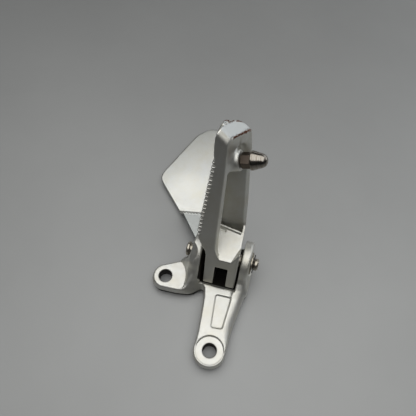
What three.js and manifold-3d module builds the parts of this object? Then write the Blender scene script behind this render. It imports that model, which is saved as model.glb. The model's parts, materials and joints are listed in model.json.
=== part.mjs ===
// Left front rider footrest: a forged bracket with a two-eared clevis, a folding foot peg with a
// torsion return spring, its clevis pin and E-clip, a steel bank feeler, and a joggled sheet heel guard.
//
// Frame: millimetres. +X runs along the pivot pin, +Y is the way the peg folds, +Z is the outward
// normal of the mounting faces. The back faces of the mounting lugs lie on z = 0, and the origin is
// the centre of the bounding box's bottom.
import * as THREE from "three";
import { mergeVertices } from "three/addons/utils/BufferGeometryUtils.js";
import { ConvexGeometry } from "three/addons/geometries/ConvexGeometry.js";
import Module from "manifold-3d";

const wasm = await Module();
wasm.setup();

// ---------- driving dimensions (mm) ----------
const BOX_X = -19.1, BOX_Y = 21.65; // bounding box centre in the pin frame
const PIN_Z = 16.7; // pin axis above the mounting faces
const LEAN = 20; // degrees from the outward normal to the peg's axis at rest
const GAP = 0.3; // clearance between touching neighbours

const LUG_T = 9; // mounting lug thickness
const HOLE_R = 4.25; // M8 clearance holes
const LUG_L = [-33.7, -19.7], LUG_L_R = 8.8;
const LUG_B = [7.2, -59.3], LUG_B_R = 10.3, SPOT_R = 8.7, SPOT_D = 1.0;
const ARM_T = 10;
const FLOOR_T = 3.4;

const EAR_R = 12.5; // ear radius about the pin
const EAR_L = [-19.2, -12.2], EAR_R_X = [14.0, 19.4];
const BORE_R = 4.15, PIN_R = 4.0, PIN_BORE_PEG_R = 4.3;

const ROOT_X = [-8.6, 12.8], ROOT_FRONT = -14.2, ROOT_REAR = 11, ROOT_END = -12.9, ROOT_R = 12.9;
const NOTCH_X = [-1.9, 6.5], NOTCH_TOP = 3.5;
const PEG_TIP = 101.1;
const TREAD = { a0: 29.0, a1: 82.0, x0: -15.6, x1: -11.1, teeth: 18, depth: 1.3 };
const POCKET_TOP = 74, WALL_FRONT = 3.2, WALL_REAR = 3.0;

const FEELER_DIR = [0.958, -0.081, 0.271]; // in peg axes (x, n, a)
const FEELER_AT = [2.5, -1.5, 78.8];

// ---------- helpers ----------
const V3 = (x, y, z) => new THREE.Vector3(x, y, z);
function solid(geometry) {
  let g = geometry.clone();
  g.deleteAttribute("normal");
  g.deleteAttribute("uv");
  g = mergeVertices(g.index ? g.toNonIndexed() : g, 1e-4);
  return new wasm.Manifold(
    new wasm.Mesh({
      numProp: 3,
      vertProperties: new Float32Array(g.attributes.position.array),
      triVerts: new Uint32Array(g.index.array),
    }),
  );
}
function geometryOf(m) {
  const k = m.getMesh(), n = k.numProp;
  const pos = new Float32Array(k.numVert * 3);
  for (let i = 0; i < k.numVert; i++) pos.set(k.vertProperties.subarray(i * n, i * n + 3), i * 3);
  let g = new THREE.BufferGeometry();
  g.setAttribute("position", new THREE.BufferAttribute(pos, 3));
  g.setIndex(new THREE.BufferAttribute(new Uint32Array(k.triVerts), 1));
  g.computeVertexNormals();
  return g;
}
const hull = (pts) => solid(new ConvexGeometry(pts.map((p) => V3(...p))));
function shape(pts) {
  return new THREE.Shape(pts.map((p) => new THREE.Vector2(p[0], p[1])));
}
// Prism of an outline in the plane across one axis, from lo to hi along that axis.
// across "z": outline is (x, y); across "x": outline is (y, z); across "y": outline is (x, z).
function prism(across, pts, lo, hi) {
  const area = THREE.ShapeUtils.area(pts.map((p) => new THREE.Vector2(...p)));
  const ring = area < 0 ? [...pts].reverse() : pts;
  const g = new THREE.ExtrudeGeometry(shape(ring), { depth: hi - lo, bevelEnabled: false, steps: 1 });
  const m = new THREE.Matrix4();
  if (across === "z") m.makeTranslation(0, 0, lo);
  if (across === "x") m.makeBasis(V3(0, 1, 0), V3(0, 0, 1), V3(1, 0, 0)).setPosition(lo, 0, 0);
  if (across === "y") m.makeBasis(V3(1, 0, 0), V3(0, 0, 1), V3(0, -1, 0)).setPosition(0, hi, 0);
  g.applyMatrix4(m);
  return solid(g);
}
// Solid of revolution about an axis; profile is [radius, along] from the axis back to the axis.
function turned(profile, at, dir, segments = 24) {
  const g = new THREE.LatheGeometry(profile.map((p) => new THREE.Vector2(p[0], p[1])), segments);
  const q = new THREE.Quaternion().setFromUnitVectors(V3(0, 1, 0), V3(...dir).normalize());
  g.applyMatrix4(new THREE.Matrix4().compose(V3(...at), q, V3(1, 1, 1)));
  return solid(g);
}
// Closed ring profile (washer): inner radius, outer radius, from lo to hi along the axis.
function rod(r, lo, hi, at, dir, segments = 24) {
  return turned([[0, lo], [r, lo], [r, hi], [0, hi]], at, dir, segments);
}
function arc(cx, cy, r, d0, d1, n) {
  const out = [];
  for (let i = 0; i <= n; i++) {
    const t = THREE.MathUtils.degToRad(d0 + ((d1 - d0) * i) / n);
    out.push([cx + r * Math.cos(t), cy + r * Math.sin(t)]);
  }
  return out;
}
const union = (list) => list.reduce((a, b) => a.add(b));
const X = [1, 0, 0], Z = [0, 0, 1];

// ---------- materials ----------
const alu = (c, rough, metal = 0.9) => new THREE.MeshStandardMaterial({ color: c, roughness: rough, metalness: metal });
const castAlu = alu(0xd6d6d0, 0.55), pegAlu = alu(0xb9b8b2, 0.5), sheetAlu = alu(0xd2d4d0, 0.42);
const steel = alu(0x9d9890, 0.25, 1), dark = alu(0x4a463f, 0.35, 1), chrome = alu(0xcfcfd2, 0.12, 1);

const part = new THREE.Group();
function place(name, m, material, parent = part) {
  const mesh = new THREE.Mesh(geometryOf(m), material);
  mesh.name = name;
  parent.add(mesh);
  return mesh;
}

// ================= mounting bracket =================
// Left lug: round about its hole, widening towards the clevis.
const leftLug = prism("z", [
  ...arc(LUG_L[0], LUG_L[1], LUG_L_R, 120, 262, 12),
  [-23, -28.6], [-14.5, -26.5], [-9, -24.6], [-5.4, -22.4], [-5.4, -10], [-13.6, 2], [-19.2, 4], [-21.5, -1.5], [-27.5, -6.6], [-34.5, -10.9],
], 0, LUG_T);
// Arm: tapers from the clevis floor to the lower lug; its right flank runs under the right ear.
const arm = prism("z", [
  [-9, -18.6], [-6.2, -22], [-4.9, -28], [-3.9, -38], [-3.0, -50],
  ...arc(LUG_B[0], LUG_B[1], LUG_B_R, 172, 368, 20),
  [17.6, -48], [18.6, -38], [19.8, -26], [20.5, -15], [20.7, -10], [14.0, -10], [13.6, -18.6],
], 0, ARM_T);
// Clevis floor under the peg root, and the stop ramp that the root's end face stands on.
const floor = prism("x", [[-18.8, 0], [14.5, 0], [14.5, FLOOR_T], [-4.2, FLOOR_T], [-8.8, 4.9], [-18.8, 8.6]], -18.5, 20.5);
// Ears: round about the pin, running down into the floor and, on the right, out along the arm.
const earPts = (foot, toe, r = EAR_R, cy = 0) => [
  ...arc(cy, PIN_Z, r, 0, 168, 18),
  ...toe, [foot[0], 0.2], [foot[1], 0.2],
];
const leftEar = prism("x", earPts([-17, 14], [[-14.8, 9.4], [-17, 6]]), ...EAR_L);
const rightEar = prism("x", earPts([-30, 14.8], [[-15.4, 15.6], [-19.0, 12.6], [-24, 10.6], [-32, 9.6], [-32, 1]], 13.6, 0.4), ...EAR_R_X);
const leftBoss = rod(7.8, EAR_L[1] - 1, -10.4, [0, 0, PIN_Z], X, 28);
const flank = hull([
  [17.8, -46, 0.3], [15.0, -46, 9.6], [19.6, -28, 0.3], [19.0, -24, 9.4], [20.7, -10, 0.3], [20.6, -10, 9], [20.9, 6, 0.3], [20.2, 6, 8], [15, -46, 0.3], [17, 6, 0.3], [17, 6, 12], [17, -18, 12.4],
]);
// Web that fills the corner between the left lug's face and the left ear.
const web = hull([
  [-23, -25, 8], [-20.5, -11, 8], [-21.5, -3, 8], [-19.2, 4, 8], [-14.2, -13.2, 9], [-14.2, -15.4, 5], [-14.2, -11, 14], [-14.2, 2, 18], [-19.1, 1, 18], [-19.1, -9, 12.5], [-14.2, -24, 8],
]);
// Rear pad for the heel guard.
const padPts = [[-21.4, 11.2], [-19.4, 2.0], [-10.2, 1.5], [-10.2, 26.5], [-12.5, 29.3], [-20.5, 29.0], [-23.8, 26.5], [-23.8, 16.0]];
const pad = prism("z", padPts, 0, LUG_T);
const SCREWS = [[-15.0, 17.0], [-16.8, 25.6]];
let bracket = union([leftLug, arm, floor, leftEar, rightEar, flank, web, leftBoss, pad]);
// Room for the peg root between the ears.
const rootRoom = prism("x", [
  [-19.2, 12.9], [-18.2, 8.75], [-8.7, 5.2], [-4.2, FLOOR_T], [30, FLOOR_T], [30, 60], [-19.2, 60],
], -10.4, 14.0);
bracket = bracket.subtract(rootRoom);
bracket = bracket.subtract(rod(BORE_R, -30, 30, [0, 0, PIN_Z], X));
// Spot faces for the pin's head and for the clip's washer.
bracket = bracket.subtract(rod(6.4, -40, EAR_L[0], [0, 0, PIN_Z], X, 28)).subtract(rod(8.2, EAR_R_X[1], 40, [0, 0, PIN_Z], X, 28));
bracket = bracket.subtract(rod(HOLE_R, -5, 30, [...LUG_L, 0], Z)).subtract(rod(HOLE_R, -5, 30, [...LUG_B, 0], Z));
bracket = bracket.subtract(rod(LUG_L_R + 0.4, LUG_T, 30, [...LUG_L, 0], Z, 32));
bracket = bracket.subtract(rod(SPOT_R, ARM_T - SPOT_D, 30, [...LUG_B, 0], Z, 36));
bracket = bracket.subtract(prism("z", [[2.6, -24.6], [12.6, -24.2], [11.6, -45], [4.6, -45.6]], ARM_T - 0.8, 30));
// Seat for the heel guard's tab, machined level with the pad beside and behind the left ear.
bracket = bracket.subtract(prism("z", [[-19.35, 2.5], [-24, 5], [-40, 30], [-10, 36], [-10, 12.6], [-19.35, 12.6]], LUG_T, 30));
for (const s of SCREWS) bracket = bracket.subtract(rod(2.55, 1.2, 30, [...s, 0], Z, 16));
place("mounting_bracket", bracket, castAlu);

// ================= foot peg =================
// Local axes: x along the pin, y = n (rearward normal of the front face), z = a (outward along the peg).
const peg = new THREE.Group();
peg.position.set(0, 0, PIN_Z);
peg.rotation.x = THREE.MathUtils.degToRad(-LEAN);
part.add(peg);

const teeth = [];
const pitch = (TREAD.a1 - TREAD.a0) / TREAD.teeth;
for (let i = 0; i < TREAD.teeth; i++) {
  const a = TREAD.a0 + i * pitch;
  const tip = (t) => TREAD.x0 + ((TREAD.x1 - TREAD.x0) * (t - TREAD.a0)) / (TREAD.a1 - TREAD.a0);
  teeth.push([tip(a) + TREAD.depth, a + 0.1], [tip(a + pitch) + 0.0, a + pitch * 0.85], [tip(a + pitch) + 0.05, a + pitch]);
}
const side = [
  [ROOT_X[0], ROOT_END], [ROOT_X[0], 2], [-8.8, 14.8], [-11.6, 19], [-14.6, 25.7], [-15.5, 28.6],
  ...teeth,
  [-9.9, 82.2], [-10.9, 85.3], [-11.3, 92], [-11.2, 98.4], [-9.8, PEG_TIP], [-7.6, 104.5], [9, 104.5],
  [9, 64], [9.3, 30], [11.4, 24.2], [ROOT_X[1], 20.9], [ROOT_X[1], ROOT_END],
];
let body = prism("y", side, ROOT_FRONT, ROOT_REAR);
// Root end: flat stop face at the front, then round about the pin; the rear corner is cleared.
const endCut = prism("x", [
  [-5, -13.2], ...arc(0, 0, ROOT_R, 248, 360, 16), [12.9, 14], [30, 14], [30, -30], [-5, -30],
].map((p) => [p[0], p[1]]), -40, 40);
body = body.subtract(endCut);
// Oblique outer end face, falling towards the underside and rising a little rearwards.
const endAt = (x, n) => PEG_TIP - 0.78 * (x + 9.8) + 0.1 * (n - ROOT_FRONT);
const endPts = [];
for (const x of [-30, 30]) for (const n of [-30, 30]) endPts.push([x, n, endAt(x, n)], [x, n, 150]);
body = body.subtract(hull(endPts));
// Rear face tapers towards the outer end.
body = body.subtract(hull([
  [-30, 11.02, 24], [30, 11.02, 24], [-30, 9.3, 120], [30, 9.3, 120], [-30, 30, 24], [30, 30, 24], [-30, 30, 120], [30, 30, 120],
]));
// Rear tread corner is swept away towards the outer end.
body = body.subtract(hull([
  [-13.6, 8.6, 62], [-10, 12, 62], [-30, 12, 62], [-6.4, 0.4, 100], [1.2, 10.0, 98], [-30, 10.6, 100], [-6.4, 0.4, 108], [1.2, 10.0, 108], [-30, 10.6, 108],
]));
body = body.subtract(hull([
  [-13, 5, 80], [-30, 5, 80], [-30, 12, 80], [-12, 7, 80], [-9.6, -9.5, 101.4], [-6.1, 1.0, 100], [-30, 1.0, 100], [-9.6, -9.5, 108], [-6.1, 1.0, 108], [-30, 1.0, 108],
]));
// Underside: slanted plane between the front rim and the higher rear rim, down to a ramp.
const ramp = (n) => 10.5 + (n - ROOT_FRONT) * 0.63;
const under = hull([
  [-3.4, -15, ramp(-15)], [0.1, -15, ramp(-15) - 0], [10.4, 12, ramp(12)], [40, -15, ramp(-15)], [40, 12, ramp(12)],
  [-4.1, -15, 58], [8.8, 12, 58], [40, -15, 58], [40, 12, 58],
]).add(hull([
  [-4.1, -15, 57.9], [8.8, 12, 57.9], [40, -15, 57.9], [40, 12, 57.9],
  [-4.7, -15, 106], [3.9, 12, 106], [40, -15, 106], [40, 12, 106],
]));
body = body.subtract(under);
// Feeler boss and tapped hole, with room beside the boss for the feeler's flange.
body = body.add(turned([[0, -9], [7.9, -9], [6.7, -1.0], [6.1, 0], [0, 0]], FEELER_AT, FEELER_DIR, 28));
body = body.subtract(rod(7.4, 0, 14, FEELER_AT, FEELER_DIR, 28));
body = body.subtract(rod(3.2, -5.8, 5, FEELER_AT, FEELER_DIR, 16));
// Channel between the front wall, the tread plate and the rear wall.
const pocket = hull([
  [-8.6, ROOT_FRONT + WALL_FRONT, ramp(ROOT_FRONT + WALL_FRONT)], [-8.6, 7.6, ramp(3)], [30, ROOT_FRONT + WALL_FRONT, ramp(ROOT_FRONT + WALL_FRONT)], [30, 7.6, ramp(3)],
  [-7.2, ROOT_FRONT + WALL_FRONT, POCKET_TOP + 2], [-7.2, 5.6, POCKET_TOP - 5], [30, ROOT_FRONT + WALL_FRONT, POCKET_TOP + 2], [30, 5.6, POCKET_TOP - 5],
]);
body = body.subtract(pocket);
// Corner webs left standing beside the ramp, tall at the front face and dying out rearwards.
body = body.add(hull([[7.7, ROOT_FRONT, 10.5], [12.8, ROOT_FRONT, 20.9], [12.8, ROOT_FRONT, 9], [7.7, ROOT_FRONT, 9], [11.2, 6, 23.6], [11.2, 6, 18], [7.7, 0, 14]]));
body = body.add(hull([[0.1, ROOT_FRONT, 10.5], [-3.1, ROOT_FRONT, 15.8], [-4, ROOT_FRONT, 15.8], [-4, ROOT_FRONT, 9], [0.1, ROOT_FRONT, 9], [-4, -4, 17.2], [-4, -4, 12]]));
// Right flank of the root draws in towards the rear.
body = body.subtract(hull([[12.81, -14.3, -20], [12.81, -14.3, 30], [11.0, 11.2, -20], [11.0, 11.2, 30], [20, -14.3, -20], [20, -14.3, 30], [20, 11.2, -20], [20, 11.2, 30]]));
// Spring notch and the round hollow for the spring coils.
body = body.subtract(prism("y", [[NOTCH_X[0], -30], [NOTCH_X[1], -30], [NOTCH_X[1], NOTCH_TOP], [NOTCH_X[0], NOTCH_TOP]], -30, 30));
body = body.subtract(rod(8.2, NOTCH_X[0], NOTCH_X[1], [0, 0, 0], X, 28));
body = body.subtract(rod(PIN_BORE_PEG_R, -30, 30, [0, 0, 0], X));
place("foot_peg", body, pegAlu, peg);

// Bank feeler: threaded stem, hex base, cone and domed nose.
const feelerStem = rod(2.85, -5.3, 1, FEELER_AT, FEELER_DIR, 16);
const feelerHex = turned([[0, GAP], [4.4, GAP], [4.62, 0.7], [4.62, 6.2], [0, 6.2]], FEELER_AT, FEELER_DIR, 6);
const feelerNose = turned([[0, 5.5], [5.0, 5.5], [5.5, 6.0], [5.5, 6.7], [5.1, 8.0], [4.15, 10.9], [4.05, 11.9], [3.6, 13.0], [2.8, 14.0], [1.6, 14.7], [0, 14.95]], FEELER_AT, FEELER_DIR, 28);
place("bank_feeler", union([feelerStem, feelerHex, feelerNose]), chrome, peg);

// ================= pivot hardware =================
const at = [0, 0, PIN_Z];
// Pin: button head on the left, groove for the E-clip on the right, chamfered end.
place("pivot_pin", turned([
  [0, -24.0], [3.6, -24.0], [4.9, -23.4], [4.9, -21.9], [4.5, -21.6], [4.5, -19.55], [PIN_R, -19.55], [PIN_R, 20.9], [3.1, 20.9], [3.1, 22.0], [PIN_R, 22.0], [PIN_R, 23.8], [3.2, 24.6], [0, 24.6],
], at, X, 28), steel);
// E-clip: a ring with one open side and three inner prongs.
{
  const r = [];
  for (let i = 0; i <= 20; i++) {
    const t = THREE.MathUtils.degToRad(-60 + (300 * i) / 20);
    r.push([6.1 * Math.cos(t), 6.1 * Math.sin(t)]);
  }
  const inner = [];
  for (let i = 20; i >= 0; i--) {
    const d = -60 + (300 * i) / 20;
    const t = THREE.MathUtils.degToRad(d);
    const prong = [0, 1, 10, 11, 19, 20].includes(i);
    const q = prong ? 3.4 : 4.5;
    inner.push([q * Math.cos(t), q * Math.sin(t)]);
  }
  place("pin_eclip", prism("x", [...r, ...inner].map((p) => [p[0], p[1] + PIN_Z]), 21.15, 21.75), dark);
}
const washer = (ri, ro, lo, hi) => rod(ro, lo, hi, at, X, 32).subtract(rod(ri, lo - 1, hi + 1, at, X, 32));
place("clip_washer", washer(4.35, 7.2, 19.7, 20.6), steel);
place("thrust_washer_left", washer(4.35, 8.0, -10.1, -8.95), steel);
place("thrust_washer_right", washer(4.35, 8.0, 13.1, 13.7), steel);

// Torsion return spring: three close coils about the pin inside the notch, one leg against the
// peg's notch roof, the other down on the clevis floor.
{
  const WIRE = 0.9, R = 5.9, x0 = NOTCH_X[0] + 1.35, turns = 3, px = 1.95;
  const pts = [];
  pts.push(V3(x0, 9.2, PIN_Z - 10.6), V3(x0, 4.6, PIN_Z - 8.0));
  const start = -52, total = turns * 360 + 70;
  const steps = 60;
  for (let i = 0; i <= steps; i++) {
    const d = start - (total * i) / steps;
    const t = THREE.MathUtils.degToRad(d);
    pts.push(V3(x0 + (px * (total / 360) * i) / steps * 0.92, R * Math.cos(t), PIN_Z + R * Math.sin(t)));
  }
  const last = pts[pts.length - 1];
  const path = new THREE.CatmullRomCurve3(pts, false, "centripetal");
  const ring = [];
  for (let i = 0; i < 8; i++) ring.push([WIRE * Math.cos((i * Math.PI) / 4), WIRE * Math.sin((i * Math.PI) / 4)]);
  const g = new THREE.ExtrudeGeometry(shape(ring), { steps: 96, bevelEnabled: false, extrudePath: path });
  place("return_spring", solid(g), dark);
}

// ================= heel guard =================
// Sheet, 2 mm: an inner tab screwed to the rear pad, a joggle down, and a wide outer blade.
const SHEET = 2.0, TAB_Z = LUG_T + GAP, BLADE_Z = 3.0, BEND_AT = [-24, 32.2], BEND_DEG = 9.5, RUN = 3.0;
{
  // Cross-section of the bent sheet, (distance past the bend, height), swept along the bend line.
  const section = [
    [-60, TAB_Z], [-RUN - 0.5, TAB_Z], [RUN - 0.5, BLADE_Z], [120, BLADE_Z],
    [120, BLADE_Z + SHEET], [RUN + 0.4, BLADE_Z + SHEET], [-RUN + 0.4, TAB_Z + SHEET], [-60, TAB_Z + SHEET],
  ];
  const area = THREE.ShapeUtils.area(section.map((p) => new THREE.Vector2(...p)));
  const sweep = new THREE.ExtrudeGeometry(shape(area < 0 ? [...section].reverse() : section), { depth: 120, bevelEnabled: false });
  const t = THREE.MathUtils.degToRad(BEND_DEG);
  const u = V3(Math.cos(t), Math.sin(t), 0), v = V3(-Math.sin(t), Math.cos(t), 0);
  sweep.applyMatrix4(new THREE.Matrix4().makeBasis(v, V3(0, 0, 1), u).setPosition(BEND_AT[0] - 60 * u.x, BEND_AT[1] - 60 * u.y, 0));
  const outline = prism("z", [
    [-19.6, 8.3], [-35.6, 27.6], [-39.4, 31.6], [-56.6, 50.2], ...arc(-57.2, 58.6, 5.6, 205, 145, 5), [-59.4, 66], [-52.8, 84.6],
    [-45.5, 100.8], [-42, 107], [-38.4, 110.6], [-33.4, 112.9], [-28.5, 112.9], [-24.6, 110.6], [-22.4, 106],
    [-14.6, 60], [-10.6, 36], [-10.6, 18], [-12, 15.4], [-15, 14.6],
  ], -5, 30);
  let plate = solid(sweep).intersect(outline);
  // Clear the left ear.
  plate = plate.subtract(prism("z", [[-19.7, -30], [-19.7, 12.8], [-10.2, 12.8], [-10.2, -30]], 5, 20));
  for (const s of SCREWS) plate = plate.subtract(rod(2.85, 5, 30, [...s, 0], Z, 18));
  place("heel_guard", plate, sheetAlu);
}
SCREWS.forEach((s, i) => {
  const top = TAB_Z + SHEET + GAP;
  const screw = turned([[0, 2.0], [2.2, 2.0], [2.2, top], [4.0, top], [4.0, top + 0.8], [3.3, top + 1.9], [2.4, top + 2.3], [0, top + 2.3]], [...s, 0], Z, 24)
    .subtract(rod(1.5, top + 0.9, top + 9, [...s, 0], Z, 6));
  place(i ? "heel_guard_screw_rear" : "heel_guard_screw_front", screw, steel);
});

part.position.set(-BOX_X, -BOX_Y, 0);
const root = new THREE.Group();
root.add(part);
export default root;
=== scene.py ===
import json
import math

import bpy
import bmesh
import numpy as np
import openvdb as vdb
from mathutils import Matrix, Vector


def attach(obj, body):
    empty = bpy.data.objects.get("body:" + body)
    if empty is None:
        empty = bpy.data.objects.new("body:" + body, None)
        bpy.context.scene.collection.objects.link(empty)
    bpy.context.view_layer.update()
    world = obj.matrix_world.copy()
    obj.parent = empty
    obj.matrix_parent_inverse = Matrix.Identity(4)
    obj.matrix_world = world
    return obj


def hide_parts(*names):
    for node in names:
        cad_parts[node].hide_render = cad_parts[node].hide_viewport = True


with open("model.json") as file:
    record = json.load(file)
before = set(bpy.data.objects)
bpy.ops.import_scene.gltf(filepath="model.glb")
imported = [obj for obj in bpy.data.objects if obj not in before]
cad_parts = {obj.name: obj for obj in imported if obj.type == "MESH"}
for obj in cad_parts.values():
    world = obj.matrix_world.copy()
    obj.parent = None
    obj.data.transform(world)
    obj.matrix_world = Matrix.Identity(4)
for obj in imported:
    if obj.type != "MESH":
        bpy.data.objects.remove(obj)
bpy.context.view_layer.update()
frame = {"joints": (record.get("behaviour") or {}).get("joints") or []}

# ---------------------------------------------------------------- frame
# The pin frame (mm): x along the pivot pin, y the way the peg folds, z out of the mounting faces,
# with the pin above (0, 0). OFF carries it to the row frame, from the joint's own position.
J = frame["joints"][0]["pos_m"]
PIN_Z = J[2] * 1000.0
OFF = np.array([J[0] * 1000.0, J[1] * 1000.0, 0.0])
LEAN = math.radians(20.0)
CL, SL = math.cos(LEAN), math.sin(LEAN)
PEG_ROT = np.array([[1, 0, 0], [0, CL, SL], [0, -SL, CL]])  # columns x, n, a in the pin frame
PEG_AT = np.array([0.0, 0.0, PIN_Z])
f32 = np.float32


# ---------------------------------------------------------------- distance-field tools
class Grid:
    def __init__(self, lo, hi, vox):
        self.vox = vox
        self.lo = np.array(lo, float)
        n = np.ceil((np.array(hi, float) - self.lo) / vox).astype(int) + 1
        ax = [(self.lo[i] + vox * np.arange(n[i])).astype(f32) for i in range(3)]
        self.x = ax[0][:, None, None]
        self.y = ax[1][None, :, None]
        self.z = ax[2][None, None, :]


def smin(a, b, k):
    h = np.maximum(k - np.abs(a - b), 0) / k
    return np.minimum(a, b) - h * h * (k * 0.25)


def smax(a, b, k):
    h = np.maximum(k - np.abs(a - b), 0) / k
    return np.maximum(a, b) + h * h * (k * 0.25)


def cut(a, b, k=0.6):
    return smax(a, -b, k)


def sstep(e0, e1, v):
    t = np.clip((v - e0) / (e1 - e0), 0, 1)
    return t * t * (3 - 2 * t)


def rounded(d2, dz, r):
    a, b = d2 + r, dz + r
    return np.minimum(np.maximum(a, b), 0) + np.sqrt(np.maximum(a, 0) ** 2 + np.maximum(b, 0) ** 2) - r


def slab(v, lo, hi):
    return np.maximum(lo - v, v - hi)


def fillet_poly(pts, radii, seg=7):
    """Outline with each corner replaced by an arc."""
    n = len(pts)
    out = []
    for i in range(n):
        p0, p, p1 = (np.array(pts[(i + k) % n], float) for k in (-1, 0, 1))
        r = radii[i] if isinstance(radii, (list, tuple)) else radii
        u, v = p0 - p, p1 - p
        lu, lv = np.linalg.norm(u), np.linalg.norm(v)
        u, v = u / lu, v / lv
        c = np.clip(np.dot(u, v), -1, 1)
        ang = math.acos(c)
        if r <= 0 or ang > math.pi - 0.05:
            out.append(tuple(p))
            continue
        t = min(r / math.tan(ang / 2), 0.48 * lu, 0.48 * lv)
        a, b = p + u * t, p + v * t
        for k in range(seg + 1):
            s = k / seg
            q = (1 - s) ** 2 * a + 2 * s * (1 - s) * p + s * s * b
            out.append(tuple(q))
    return out


def poly(u, v, pts):
    """Signed distance to a closed outline over broadcast arrays u, v."""
    u, v = np.broadcast_arrays(u, v)
    d = np.full(u.shape, 1e9, f32)
    inside = np.zeros(u.shape, bool)
    n = len(pts)
    for i in range(n):
        x0, y0 = pts[i]
        x1, y1 = pts[(i + 1) % n]
        ex, ey = x1 - x0, y1 - y0
        L = ex * ex + ey * ey
        if L < 1e-12:
            continue
        wx, wy = u - f32(x0), v - f32(y0)
        t = np.clip((wx * ex + wy * ey) / L, 0, 1)
        dx, dy = wx - ex * t, wy - ey * t
        d = np.minimum(d, dx * dx + dy * dy)
        c = (y0 <= v) != (y1 <= v)
        with np.errstate(divide="ignore", invalid="ignore"):
            xi = x0 + (v - y0) * (ex / ey if ey != 0 else 0.0)
        inside ^= c & (u < xi)
    d = np.sqrt(d)
    return np.where(inside, -d, d).astype(f32)


def arc(cx, cy, r, d0, d1, n):
    return [(cx + r * math.cos(math.radians(d0 + (d1 - d0) * i / n)), cy + r * math.sin(math.radians(d0 + (d1 - d0) * i / n))) for i in range(n + 1)]


def cyl(u, v, cu, cv, r):
    return np.sqrt((u - cu) ** 2 + (v - cv) ** 2) - r


def mesh_of(name, grid, field, rot=None, at=(0, 0, 0), smooth=True):
    arr = np.clip(np.broadcast_to(field, (grid.x.size, grid.y.size, grid.z.size)), -3 * grid.vox, 3 * grid.vox).astype(f32)
    g = vdb.FloatGrid(3 * grid.vox)
    g.copyFromArray(np.ascontiguousarray(arr), tolerance=0.0)
    pts, tris, quads = g.convertToPolygons(isovalue=0.0, adaptivity=0.0)
    p = pts.astype(float) * grid.vox + grid.lo
    if rot is not None:
        p = p @ np.array(rot).T
    p = (p + np.array(at) + OFF) / 1000.0
    faces = [tuple(q) for q in quads.tolist()] + [tuple(t) for t in tris.tolist()]
    q = quads
    a, b, c, d = (p[q[:, i]] for i in range(4))
    vol = np.einsum("ij,ij->i", a, np.cross(b, c)).sum() + np.einsum("ij,ij->i", a, np.cross(c, d)).sum()
    if vol < 0:
        faces = [t[::-1] for t in faces]
    me = bpy.data.meshes.new(name)
    me.from_pydata(p.tolist(), [], faces)
    me.validate()
    print("MESH", name, len(me.polygons), "faces")
    me.update()
    ob = bpy.data.objects.new(name, me)
    bpy.context.scene.collection.objects.link(ob)
    if smooth:
        me.shade_smooth()
    return ob


FINE = 1.0

# ---------------------------------------------------------------- mounting bracket
LUG_L, LUG_B = (-33.7, -19.7), (7.2, -59.3)
SCREWS = [(-15.0, 17.0), (-16.8, 25.6)]


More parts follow.
